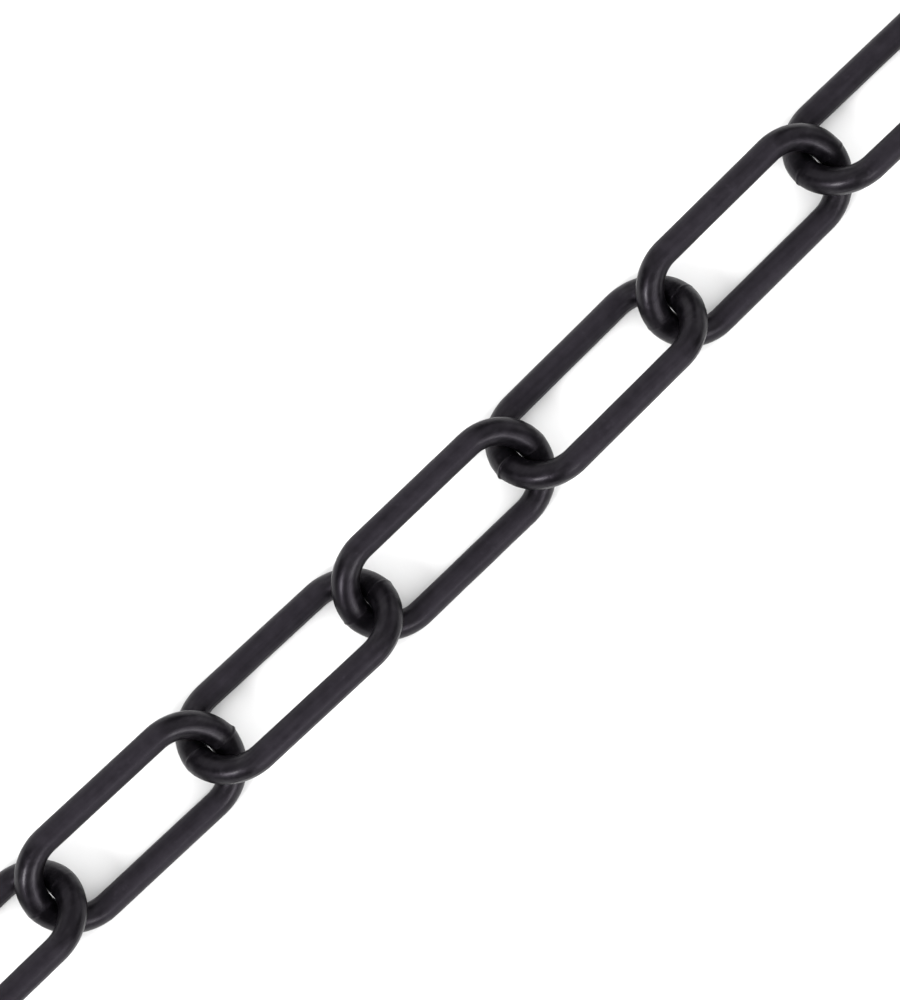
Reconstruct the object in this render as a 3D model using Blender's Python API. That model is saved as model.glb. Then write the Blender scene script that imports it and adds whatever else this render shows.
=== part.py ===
"""A one metre length of plastic chain, lying nearly straight on a level floor.

The chain runs along X. Each link is a closed loop of round bar, moulded in one piece, and
lies on one of its legs: the links lean to one side and to the other in turn, each propped
up by the bows of its neighbours. The origin is on the floor, under the middle link.
"""

import math

import bmesh
import bpy
from mathutils import Euler, Matrix, Vector

# One link, in metres
BAR = 0.0060  # thickness of the bar, over two opposite flats
LINK_LENGTH = 0.0600  # over the outsides of the two bows
LINK_WIDTH = 0.0275  # over the outsides of the two legs
BOW_RADIUS = 0.0110  # of the bar's centre line, and over half the width: the bow has a slight point
CROWN_THICKENING = 0.0004  # extra bar on the inside of the bow's middle, where the next link pulls

# The chain as it lies
LINK_COUNT = 21  # odd, so that a link's centre is over the origin
PITCH = 0.0465  # from one link's centre to the next
LEAN = math.radians(30)  # of each link about the chain's length

# How unevenly it lies: each is the largest departure, and how fast it changes from link to link
SLACK, SLACK_RATE = 0.00006, 1.3  # along the chain
WANDER, WANDER_RATE = -0.00060, 1.1  # across it
YAW, YAW_RATE = math.radians(1.1), 1.1  # about the vertical

# Facets
BAR_SIDES = 12  # one each 30 degrees, so a leaning link still has a flat that faces straight down
BOW_STEPS = 6  # in the quarter turn from a leg to the middle of a bow

WELD = 1e-6
BLACK = (0.022, 0.020, 0.024, 1.0)

half_leg_gap = (LINK_WIDTH - BAR) / 2  # from the link's axis to the centre line of a leg
bow_centre_y = half_leg_gap - BOW_RADIUS
bow_depth = math.sqrt(BOW_RADIUS**2 - bow_centre_y**2)
half_leg = (LINK_LENGTH - BAR) / 2 - bow_depth
link_height = half_leg_gap * math.sin(LEAN) + BAR / 2


def clear_scene():
    for obj in list(bpy.data.objects):
        bpy.data.objects.remove(obj, do_unlink=True)


def black_plastic():
    """Soft polyethylene, coloured right through."""
    material = bpy.data.materials.new("black_plastic")
    material.use_nodes = True
    shader = material.node_tree.nodes["Principled BSDF"]
    shader.inputs["Base Color"].default_value = BLACK
    shader.inputs["Roughness"].default_value = 0.42
    shader.inputs["Metallic"].default_value = 0.0
    return material


def bar_section(bm):
    """The bar's outline in the plane x = 0, around one leg, with a flat on its top and bottom."""
    half_side = math.pi / BAR_SIDES
    upright = Matrix.Rotation(math.pi / 2, 4, "Y") @ Matrix.Rotation(half_side, 4, "Z")
    ring = bmesh.ops.create_circle(
        bm,
        segments=BAR_SIDES,
        radius=BAR / 2 / math.cos(half_side),
        matrix=Matrix.Translation((0, half_leg_gap, 0)) @ upright,
    )
    return list({edge for vert in ring["verts"] for edge in vert.link_edges})


def half_leg_and_bow(bm, section):
    """Half of one leg, drawn out along X, and the quarter turn of the bow that follows it."""
    drawn = bmesh.ops.extrude_edge_only(bm, edges=section)["geom"]
    end = [item for item in drawn if isinstance(item, bmesh.types.BMVert)]
    bmesh.ops.translate(bm, verts=end, vec=(half_leg, 0, 0))
    bmesh.ops.spin(
        bm,
        geom=[item for item in drawn if isinstance(item, bmesh.types.BMEdge)],
        cent=(half_leg, bow_centre_y, 0),
        axis=(0, 0, -1),
        angle=math.pi / 2,
        steps=BOW_STEPS,
    )


def thicken_bow(bm):
    """Moves the inside of the bow further in: not at all beside the leg, most at the bow's middle."""
    centre = Vector((half_leg, bow_centre_y, 0))
    for vert in bm.verts:
        arm = (vert.co - centre) * Vector((1, 1, 0))
        inside = (BOW_RADIUS - arm.length) / (BAR / 2)
        if arm.x > 0 and inside > 0:
            towards_middle = (arm.x / arm.length) ** 2
            vert.co -= arm.normalized() * CROWN_THICKENING * inside * towards_middle


def everything(bm):
    return bm.verts[:] + bm.edges[:] + bm.faces[:]


def link_mesh():
    """A quarter of the link, cut off at the middle of its bow and mirrored across both planes."""
    bm = bmesh.new()
    half_leg_and_bow(bm, bar_section(bm))
    thicken_bow(bm)
    bmesh.ops.bisect_plane(
        bm, geom=everything(bm), dist=WELD, plane_no=(0, -1, 0), clear_outer=True
    )
    for axis in ("Y", "X"):
        bmesh.ops.mirror(bm, geom=everything(bm), axis=axis, merge_dist=WELD)
    bmesh.ops.recalc_face_normals(bm, faces=bm.faces)
    mesh = bpy.data.meshes.new("link")
    bm.to_mesh(mesh)
    bm.free()
    mesh.shade_smooth()
    mesh.set_sharp_from_angle(angle=1.5 * math.tau / BAR_SIDES)
    return mesh


def resting_place(step):
    """Where the link lies that is this many links from the middle one, and how it is turned.

    The two halves of the chain mirror each other."""
    along = step * PITCH + SLACK * math.sin(SLACK_RATE * step)
    across = WANDER * math.cos(WANDER_RATE * step)
    lean = LEAN if step % 2 == 0 else -LEAN
    yaw = YAW * math.sin(YAW_RATE * step)
    return (along, across, link_height), Euler((lean, 0, yaw))


def build():
    clear_scene()
    mesh = link_mesh()
    mesh.materials.append(black_plastic())
    chain = bpy.data.objects.new("plastic_chain", None)
    bpy.context.collection.objects.link(chain)
    for number in range(1, LINK_COUNT + 1):
        link = bpy.data.objects.new(f"link_{number:02d}", mesh)
        link.location, link.rotation_euler = resting_place(number - 1 - LINK_COUNT // 2)
        link.parent = chain
        bpy.context.collection.objects.link(link)


build()
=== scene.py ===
# %% [markdown]
# # A length of black plastic chain
#
# This lesson dresses a CAD model of plastic chain. The real object is a metre of barrier chain.
# Each link is moulded in one shot from polyethylene that is coloured black right through, and
# the next link is moulded through its eye, so the chain has no joins.
#
# The CAD model has the right sizes and places, but its links are 12-sided. Here each link is
# built again as a fine mesh with the small marks of its mould, and laid exactly where the CAD
# link lies. All lengths are in metres.

import math

import bmesh
import bpy
import numpy as np
from mathutils import Matrix, Vector, noise


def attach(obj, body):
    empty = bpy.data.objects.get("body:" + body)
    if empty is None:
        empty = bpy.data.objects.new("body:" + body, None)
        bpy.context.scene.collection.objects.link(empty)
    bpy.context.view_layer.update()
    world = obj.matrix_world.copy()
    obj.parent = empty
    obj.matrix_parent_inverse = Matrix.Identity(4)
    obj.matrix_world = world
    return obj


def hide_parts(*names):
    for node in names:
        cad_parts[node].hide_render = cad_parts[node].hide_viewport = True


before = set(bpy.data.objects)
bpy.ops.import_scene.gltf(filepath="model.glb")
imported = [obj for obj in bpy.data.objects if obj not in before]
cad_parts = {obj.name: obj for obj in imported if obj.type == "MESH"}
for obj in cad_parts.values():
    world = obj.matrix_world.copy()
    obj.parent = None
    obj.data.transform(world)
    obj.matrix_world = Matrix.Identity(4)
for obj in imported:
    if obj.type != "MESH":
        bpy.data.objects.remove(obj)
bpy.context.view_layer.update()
cad_links = {name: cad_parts[name] for name in sorted(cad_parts)}

MM = 0.001

# %% [markdown]
# ## Where each link lies
#
# A chain that is laid down doesn't lie flat. Each link leans on one leg, to one side and to the
# other in turn, and each is turned a little. Those places could be copied from the CAD source as
# numbers, but they can also be read from the CAD links themselves, and then they can never be
# out of step. A link is much longer than wide and much wider than thick, so the three main
# directions of its points are its length, its width and its thickness.


# %% Read a link's place and size from its points
def main_directions(points):
    """The length, width and thickness directions of a link, as the columns of a matrix."""
    spread = np.cov((points - points.mean(axis=0)).T)
    _, directions = np.linalg.eigh(spread)
    along = directions[:, 2] * np.sign(directions[0, 2])
    upward = directions[:, 0] * np.sign(directions[2, 0])
    return np.column_stack((along, np.cross(upward, along), upward))


def place_and_size(cad_link):
    """A link's matrix from its own axes to the world, and its length, width and thickness."""
    points = np.empty(len(cad_link.data.vertices) * 3)
    cad_link.data.vertices.foreach_get("co", points)
    points = points.reshape(-1, 3)
    axes = main_directions(points)
    inside = points @ axes
    low, high = inside.min(axis=0), inside.max(axis=0)
    place = Matrix(axes.tolist()).to_4x4()
    place.translation = axes @ ((low + high) / 2)
    return place, high - low


places = {name: place_and_size(cad_link)[0] for name, cad_link in cad_links.items()}
link_length, link_width, bar = (float(size) for size in place_and_size(cad_links["link_11"])[1])
print(f"link {link_length / MM:.2f} x {link_width / MM:.2f} mm, bar {bar / MM:.2f} mm")
print("link_11 lies at", [round(value / MM, 2) for value in places["link_11"].translation], "mm")

# %% [markdown]
# ## The middle line of the bar
#
# A link is one round bar that runs along a leg, round a bow, back along the other leg and round
# the other bow. A curve object with a round bevel would give that shape, but not the thicker
# inside of the bows or the lines of the mould. So the bar is made from rings of points, and the
# first thing to work out is where the middle of each ring goes. One quarter of the link is
# enough, from the middle of a leg to the middle of a bow, which makers call the crown. The rest
# mirrors it.

# %% Rings along a quarter of the link
BOW_RADIUS = 11.0 * MM  # of the bar's middle line
LEG_STEPS = 9
BOW_STEPS = 24
# Millimetres before the crown, where its seam needs points
SEAM_STEPS = (1.3, 0.9, 0.62, 0.42, 0.28, 0.17, 0.08)

leg_gap = (link_width - bar) / 2  # from the link's axis to the middle line of a leg
bow_centre_y = leg_gap - BOW_RADIUS
crown_angle = math.acos(-bow_centre_y / BOW_RADIUS)  # from the leg, round to the crown
half_leg = (link_length - bar) / 2 - BOW_RADIUS * math.sin(crown_angle)
bow_run = BOW_RADIUS * crown_angle


def ring_centre(run):
    """The middle line's point this far from a leg's middle, its outward direction, and the turn."""
    turn = max(0.0, (run - half_leg) / BOW_RADIUS)
    outward = Vector((math.sin(turn), math.cos(turn), 0))
    start = Vector((min(run, half_leg), bow_centre_y, 0))
    return start + outward * BOW_RADIUS, outward, turn


leg_runs = [half_leg * step / LEG_STEPS for step in range(LEG_STEPS)]
last_even_run = half_leg + bow_run - SEAM_STEPS[0] * MM
bow_runs = [
    half_leg + (last_even_run - half_leg) * step / BOW_STEPS for step in range(BOW_STEPS)
]
seam_runs = [half_leg + bow_run - before * MM for before in (*SEAM_STEPS, 0)]
quarter_runs = leg_runs + bow_runs + seam_runs
print(len(quarter_runs), "rings in a quarter of a link")

# %% [markdown]
# ## The marks of the mould
#
# The mould of such a chain opens in four parts, so four thin lines of flash are left on each
# link. Two run round the link where the upper and the lower parts met, one on the outside of the
# bar and one on the inside. Two more cross the bar, one at each crown, and there the plastic came
# in: a small nub is left on the outside. Noise sets how high each nub was trimmed. Where a nub
# stands proud, so does the flash at its crown. The bows are also a little thicker on the inside,
# where the next link pulls.
#
# A bump in the material could draw these lines, but it leaves the outline smooth. They are only a
# tenth of a millimetre or so high, and real points there cost little, so they are in the mesh.

# %% How far the surface stands from the bar's middle line
CROWN_THICKENING = 0.63 * MM
SIDE_SEAM_HEIGHT, SIDE_SEAM_WIDTH = 0.05 * MM, 0.17 * MM
CROWN_SEAM_HEIGHT, CROWN_SEAM_WIDTH = 0.11 * MM, 0.24 * MM
NUB_HEIGHT, NUB_WIDTH = 0.13 * MM, 0.6 * MM
HOLLOWS, HOLLOW_SIZE = 0.06 * MM, 7.0 * MM

# How the flash varies along a seam: its least, its mean and its spread, as shares of its height
LEAST_FLASH, MEAN_FLASH, FLASH_SPREAD = 0.1, 0.8, 1.5
FLASH_NOISE = 700  # for each metre

# How proud each nub stands: its mean, its spread and its most, as shares of its height
MEAN_PROUD, PROUD_SPREAD, MOST_PROUD = 0.3, 1.6, 1.1
CROWN_NOISE = 45.0  # for each metre, so that every crown is trimmed to another height
CROWN_NOISE_START = Vector((198.3, 0, 0))  # where in the noise the chain's middle is

# Shares of the flash at a crown: all round it, more on the outside, at least, and with the nub
ALL_ROUND, ON_OUTSIDE = 0.75, 0.4
WITHOUT_NUB, WITH_NUB = 0.5, 0.7


def hump(distance, width, power=2):
    """A smooth rise: 1 at distance 0, fading at about the width. A higher power flattens it."""
    return math.exp(-((distance / width) ** power))


def surface_radius(point, around, turn, before_crown):
    """The bar's radius at an angle round it: 0 on the link's outside, pi on its inside."""
    inward = max(0.0, -math.cos(around))
    from_side_seam = bar / 2 * min(around, math.tau - around, abs(around - math.pi))
    from_outside = bar / 2 * min(around, math.tau - around)
    flash = max(LEAST_FLASH, MEAN_FLASH + FLASH_SPREAD * noise.noise(point * FLASH_NOISE))
    trim = noise.noise(point * CROWN_NOISE + CROWN_NOISE_START)
    proud = min(MOST_PROUD, max(0.0, MEAN_PROUD + PROUD_SPREAD * trim))
    on_outside = ALL_ROUND + ON_OUTSIDE * math.cos(around)
    crown_flash = flash * on_outside * (WITHOUT_NUB + WITH_NUB * proud)
    return (
        bar / 2
        + CROWN_THICKENING * inward * math.sin(turn) ** 2
        + SIDE_SEAM_HEIGHT * flash * hump(from_side_seam, SIDE_SEAM_WIDTH)
        + CROWN_SEAM_HEIGHT * crown_flash * hump(before_crown, CROWN_SEAM_WIDTH)
        + NUB_HEIGHT * proud * hump(before_crown, NUB_WIDTH, 4) * hump(from_outside, NUB_WIDTH, 4)
        - HOLLOWS * (0.5 + 0.5 * noise.noise(point / HOLLOW_SIZE))
    )


print("inside of a bow", round((bar / 2 + CROWN_THICKENING) / MM, 2), "mm from the middle line")

# %% [markdown]
# ## Building a link
#
# Each ring holds points all round the bar, set closer where the side seams run. The rings are
# made for one quarter, then for the other three by turning signs, and neighbouring rings are
# joined by four-sided faces. No two links of a real chain are quite alike, so the noise that
# unsettles the surface is read at the link's own place in the chain.
#
# The legs of a chain are rubbed dull by other links, and the bows are not. So each point also
# keeps a number that the finish reads later: 0 on a leg, rising to 1 on a bow. The finish also
# darkens the bows' colour by it, as painted shade of the junctions where the links meet.

# %% The angles round the bar
SEAM_ANGLES = (0.0, 2.2, 4.6, 7.6, 12.0)  # degrees from a side seam
EVEN_STEPS = 15  # over the rest of a half turn


def angles_round_bar():
    """Angles for one ring, closer together at the two side seams."""
    last = SEAM_ANGLES[-1]
    even = [last + (180 - 2 * last) * step / EVEN_STEPS for step in range(1, EVEN_STEPS)]
    half = [*SEAM_ANGLES, *even, *(180 - angle for angle in reversed(SEAM_ANGLES))]
    return [math.radians(angle) for angle in half + [180 + angle for angle in half[1:-1]]]


ring_angles = angles_round_bar()
print(len(ring_angles), "points round the bar")


# %% From quarter to whole link
# Where on_bow reaches 1: from this turn on, the bows' gloss and their painted shade are full
GLOSS_AND_SHADE_TURN = math.radians(20)  # how far round the bow the dull legs reach


def ring_places():
    """Each ring's run, and the signs of x and y that mirror its quarter, once round the link."""
    inner = quarter_runs[1:-1]
    quarters = (
        [(run, 1, 1) for run in quarter_runs],
        [(run, 1, -1) for run in reversed(inner)],
        [(run, -1, -1) for run in quarter_runs],
        [(run, -1, 1) for run in reversed(inner)],
    )
    return [ring for quarter in quarters for ring in quarter]


def link_mesh(name, place):
    """One link as a fine mesh, put in its place in the chain by a matrix."""
    bm = bmesh.new()
    on_bow = bm.verts.layers.float.new("on_bow")
    rings = []
    for run, sign_x, sign_y in ring_places():
        centre, outward, turn = ring_centre(run)
        mirror = Vector((sign_x, sign_y, 1))
        ring = []
        for around in ring_angles:
            direction = outward * math.cos(around) + Vector((0, 0, math.sin(around)))
            rough_point = place @ ((centre + direction * bar / 2) * mirror)
            radius = surface_radius(rough_point, around, turn, half_leg + bow_run - run)
            vert = bm.verts.new(place @ ((centre + direction * radius) * mirror))
            vert[on_bow] = min(1.0, turn / GLOSS_AND_SHADE_TURN)
            ring.append(vert)
        rings.append(ring)
    for ring, after in zip(rings, rings[1:] + rings[:1]):
        for side in range(len(ring)):
            back = side - 1
            bm.faces.new((ring[back], ring[side], after[side], after[back]))
    bmesh.ops.recalc_face_normals(bm, faces=bm.faces)
    mesh = bpy.data.meshes.new(name)
    bm.to_mesh(mesh)
    bm.free()
    mesh.shade_smooth()
    return mesh


# %% [markdown]
# ## Laying the links
#
# Each fine link is built with the matrix that was read from its CAD link, so it lies in the same
# place and leans the same way. It stands for that CAD link, which is then hidden.

# %% Lay all the links
chain_links = {}
for name, place in places.items():
    link = bpy.data.objects.new("moulded_" + name, link_mesh("moulded_" + name, place))
    bpy.context.collection.objects.link(link)
    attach(link, "root")
    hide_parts(name)
    chain_links[name] = link
faces = sum(len(link.data.polygons) for link in chain_links.values())
print(len(chain_links), "links laid, with", faces, "faces in all")

# %% [markdown]
# ## Shader sums as Python
#
# A finish is a graph of nodes, and a sum in it takes one Math node for each sign. Such graphs are
# slow to write and hard to read. So one small class stands for a node's output and overloads
# Python's operators: `1 - scuffs * 0.4` then adds the two Math nodes that it needs. Any other
# node is added by one method, which takes its type, its settings and what goes into it.


# %% A socket that can be used in sums
class Socket:
    """One output of a node. Each sum that it is used in adds a Math node."""

    def __init__(self, finish, output):
        self.finish = finish
        self.output = output

    def maths(self, operation, first, second):
        return self.finish.node("ShaderNodeMath", {"operation": operation}, {0: first, 1: second})

    def __add__(self, other):
        return self.maths("ADD", self, other)

    def __sub__(self, other):
        return self.maths("SUBTRACT", self, other)

    def __rsub__(self, other):
        return self.maths("SUBTRACT", other, self)

    def __mul__(self, other):
        return self.maths("MULTIPLY", self, other)

    __radd__ = __add__
    __rmul__ = __mul__


class Finish:
    """A material, with the method that adds a node to it."""

    def __init__(self, name):
        self.material = bpy.data.materials.new(name)
        self.material.use_nodes = True
        self.shader = self.material.node_tree.nodes["Principled BSDF"]

    def feed(self, node, inputs):
        """Sets each named input of a node: linked from a Socket, or else to a value."""
        for name, value in inputs.items():
            if isinstance(value, Socket):
                self.material.node_tree.links.new(value.output, node.inputs[name])
            else:
                node.inputs[name].default_value = value

    def node(self, kind, settings, inputs, output=0):
        """A new node's output. The settings are the node's own, and the inputs are fed to it."""
        node = self.material.node_tree.nodes.new(kind)
        for name, value in settings.items():
            setattr(node, name, value)
        self.feed(node, inputs)
        return Socket(self, node.outputs[output])


# %% [markdown]
# ## Black polyethylene
#
# The plastic is soft and waxy. Its black goes right through, so nothing wears off it, and what
# the eye sees is mostly gloss: a satin sheen, a skin like very fine orange peel from the mould,
# faint lines along the bar where the plastic flowed, and dull scuffs where links have rubbed in
# the bag. The legs are rubbed dull. The bows are smoother, and a thin coat makes them glossier
# still in patches. The bows' colour is also made blacker than the legs', as painted shade of
# the junctions where the links meet.
#
# Each mark has noise of its own size. The noise is read at each point's place in the chain, so
# that no two links have the same marks. The chain runs along x, so noise that is stretched along
# x follows the legs.

# %% The chain's finish
BLACK = (0.0009, 0.0008, 0.0011, 1)
WORN_BLACK = (0.0135, 0.012, 0.0152, 1)
SHEEN_TINT = (0.91, 0.80, 1.0, 1)  # the gloss is a little purple
SHEEN = 0.18  # under the usual 0.5, to be as dim as the photo's gloss
COAT_ROUGHNESS = 0.20
RELIEF_HEIGHT = 0.07 * MM
ALONG_CHAIN = (0.06, 1, 1)  # squeezes x, so that the noise is drawn out along the legs


def black_plastic():
    finish = Finish("moulded_black_plastic")
    place = finish.node("ShaderNodeTexCoord", {}, {}, "Object")

    def grain(size, detail=2.0, stretch=(1, 1, 1)):
        """Noise from 0 to 1 with features of this size in metres, stretched along the axes."""
        stretched = finish.node(
            "ShaderNodeVectorMath", {"operation": "MULTIPLY"}, {0: place, 1: stretch}
        )
        inputs = {"Vector": stretched, "Scale": 1 / size, "Detail": detail}
        return finish.node("ShaderNodeTexNoise", {}, inputs, "Fac")

    def spots(source, low, high):
        """0 where the source is under low, 1 where it is over high."""
        return finish.node(
            "ShaderNodeMapRange",
            {"interpolation_type": "SMOOTHSTEP"},
            {"Value": source, "From Min": low, "From Max": high},
        )

    clouds = grain(9 * MM, detail=3)
    mottling = grain(2.4 * MM, detail=4)
    orange_peel = grain(0.9 * MM)
    skin = grain(0.16 * MM)
    flow_lines = grain(1.1 * MM, stretch=ALONG_CHAIN)
    scuffs = spots(grain(1.6 * MM, detail=6), 0.58, 0.70) * spots(clouds, 0.45, 0.62)
    on_bow = finish.node("ShaderNodeAttribute", {"attribute_name": "on_bow"}, {}, "Fac")

    # Each number below says how strongly a mark shows
    # Scuffs, mottling and flow lines are the plastic's own tone. The on_bow term is painted shade:
    # it darkens the bows, where the links meet
    wear_and_bow_shade = scuffs * 0.4 + (mottling + flow_lines) * 0.8 - 0.32 - on_bow * 0.45
    colour = finish.node(
        "ShaderNodeMix",
        {"data_type": "RGBA"},
        {"Factor": wear_and_bow_shade, "A": BLACK, "B": WORN_BLACK},
        "Result",
    )
    roughness = 0.38 + mottling * 0.20 + skin * 0.06 + scuffs * 0.12 - on_bow * 0.12
    relief = mottling * 1.3 + orange_peel * 0.5 + flow_lines * 0.6 + skin * 0.08
    bump = finish.node(
        "ShaderNodeBump", {}, {"Height": relief, "Strength": 1.0, "Distance": RELIEF_HEIGHT}
    )
    glossy_patches = on_bow * (0.09 + 0.20 * spots(clouds, 0.40, 0.60))
    coat = mottling * (0.04 + glossy_patches) - scuffs * 0.03
    finish.feed(
        finish.shader,
        {
            "Base Color": colour,
            "Roughness": roughness,
            "Normal": bump,
            "Specular IOR Level": SHEEN,
            "Specular Tint": SHEEN_TINT,
            "Coat Weight": coat,
            "Coat Roughness": COAT_ROUGHNESS,
        },
    )
    return finish.material


chain_finish = black_plastic()
for link in chain_links.values():
    link.data.materials.append(chain_finish)
print(chain_finish.name, "has", len(chain_finish.node_tree.nodes), "nodes")

# %% [markdown]
# ## The floor
#
# The chain was photographed on white. A plain pale floor does the same here, wide enough to
# reach past every view, with a matt finish that barely varies. It is grey, and bright light
# brings it close to white.

# %% The floor
FLOOR_REACH = 40.0  # from its middle to each side
PALE = (0.73, 0.73, 0.73, 1)
PALE_GREY = (0.70, 0.70, 0.70, 1)
FLOOR_MOTTLE = 6.0  # for each metre
FLOOR_ROUGHNESS, FLOOR_SHEEN = 0.9, 0.2


def pale_floor():
    bm = bmesh.new()
    bmesh.ops.create_grid(bm, x_segments=1, y_segments=1, size=FLOOR_REACH)
    mesh = bpy.data.meshes.new("floor")
    bm.to_mesh(mesh)
    bm.free()
    finish = Finish("pale_floor")
    own_axes = finish.node("ShaderNodeTexCoord", {}, {}, "Object")
    mottle = finish.node(
        "ShaderNodeTexNoise", {}, {"Vector": own_axes, "Scale": FLOOR_MOTTLE}, "Fac"
    )
    colour = finish.node(
        "ShaderNodeMix",
        {"data_type": "RGBA"},
        {"Factor": mottle, "A": PALE, "B": PALE_GREY},
        "Result",
    )
    finish.feed(
        finish.shader,
        {"Base Color": colour, "Roughness": FLOOR_ROUGHNESS, "Specular IOR Level": FLOOR_SHEEN},
    )
    mesh.materials.append(finish.material)
    floor = bpy.data.objects.new("floor", mesh)
    bpy.context.collection.objects.link(floor)
    return floor


floor = pale_floor()
print("floor", [round(size, 1) for size in floor.dimensions])

# %% [markdown]
# ## The camera
#
# The photo looks down on the chain, a little from its bottom edge, with the chain running from
# lower left to upper right. The camera is set up in those words: how far away, how far it leans,
# and how the chain is turned in the frame.

# %% The photo's directions on the floor
CHAIN_ANGLE = math.radians(43.9)  # of the chain, up from the photo's lower edge

photo_right = Vector((math.cos(CHAIN_ANGLE), -math.sin(CHAIN_ANGLE), 0))
photo_up = Vector((math.sin(CHAIN_ANGLE), math.cos(CHAIN_ANGLE), 0))
print("the photo's right is", [round(value, 2) for value in photo_right], "on the floor")

# %% Place the camera
CAMERA_DISTANCE = 0.84
CAMERA_LEAN = 0.1235  # towards the photo's bottom edge, for each unit of height
CAMERA_SIDESTEP = -0.0057  # towards its right edge
SEEN_HEIGHT = 0.2186  # of the floor, from the photo's bottom edge to its top
AIM = Vector((5.3 * MM, 3.1 * MM, 8.4 * MM))  # the point in the middle of the photo
SENSOR = 36.0  # millimetres, along the photo's longer side


def place_camera():
    camera = bpy.data.objects.new("camera", bpy.data.cameras.new("camera"))
    off_vertical = photo_right * CAMERA_SIDESTEP - photo_up * CAMERA_LEAN
    back = (Vector((0, 0, 1)) + off_vertical).normalized()
    right = (photo_right - back * photo_right.dot(back)).normalized()
    camera.matrix_world = Matrix((right, back.cross(right), back)).transposed().to_4x4()
    camera.matrix_world.translation = AIM + back * CAMERA_DISTANCE
    camera.data.sensor_width = SENSOR
    camera.data.lens = SENSOR * CAMERA_DISTANCE / SEEN_HEIGHT
    bpy.context.collection.objects.link(camera)
    bpy.context.scene.camera = camera
    return camera


camera = place_camera()
print("camera at", [round(value, 3) for value in camera.matrix_world.translation], "m")

# %% [markdown]
# ## The lights
#
# The black plastic shows its shape by the lights that it mirrors. The photo's light is soft and
# comes from nearly everywhere: wide lights over the corners of the picture, high and low, and one
# overhead. Three smaller ones stand beyond the bottom edge. The left one draws the bright glints
# on the bows. The two on the right draw the pale band along the legs and the second glints.
#
# Sun lamps with a wide disc are used for them all, because they light the whole floor evenly,
# however far away a view stands. The white world lights only dull surfaces and the backdrop. So it
# clears the shadows off the floor, and puts no gloss on the chain.


# %% The lights
def soft_light(name, direction, strength, disc):
    """A sun that shines from a direction, with a disc as wide as this many degrees."""
    light = bpy.data.lights.new(name, "SUN")
    light.energy = strength
    light.angle = math.radians(disc)
    lamp = bpy.data.objects.new(name, light)
    lamp.rotation_euler = direction.to_track_quat("Z", "Y").to_euler()
    bpy.context.collection.objects.link(lamp)


def towards(side, from_vertical):
    """A direction, in degrees to the right of the photo's bottom and in degrees from overhead."""
    side, lean = math.radians(side), math.radians(from_vertical)
    bearing = photo_right * math.sin(side) - photo_up * math.cos(side)
    return bearing * math.sin(lean) + Vector((0, 0, math.cos(lean)))


# Each light's name, degrees to the right of the photo's bottom, degrees from overhead, strength,
# and how many degrees wide its disc is
LIGHTS = (
    ("overhead_light", 0, 5, 0.54, 70),
    ("upper_left_light", -135, 42, 0.70, 62),
    ("upper_right_light", 135, 42, 0.70, 62),
    ("lower_right_light", 45, 42, 0.37, 62),
    *((f"low_light_{corner}", corner, 70, 0.54, 52) for corner in (-135, -45, 45, 135)),
    ("glint_light", -42, 46, 2.3, 18),
    ("band_light", 46, 55, 0.66, 34),
    ("second_glint_light", 43, 60, 0.46, 14),
)
for light_name, side, from_vertical, strength, disc in LIGHTS:
    soft_light(light_name, towards(side, from_vertical), strength, disc)
print(len(LIGHTS), "lights")

# %% The world
world = bpy.data.worlds.new("studio")
world.use_nodes = True
world.node_tree.nodes["Background"].inputs["Color"].default_value = (1, 1, 1, 1)
bpy.context.scene.world = world
for kind in ("glossy", "transmission", "scatter"):
    setattr(world.cycles_visibility, kind, False)
bpy.context.scene.view_settings.view_transform = "Standard"
print("world", world.name, "is seen by the camera and by dull surfaces")
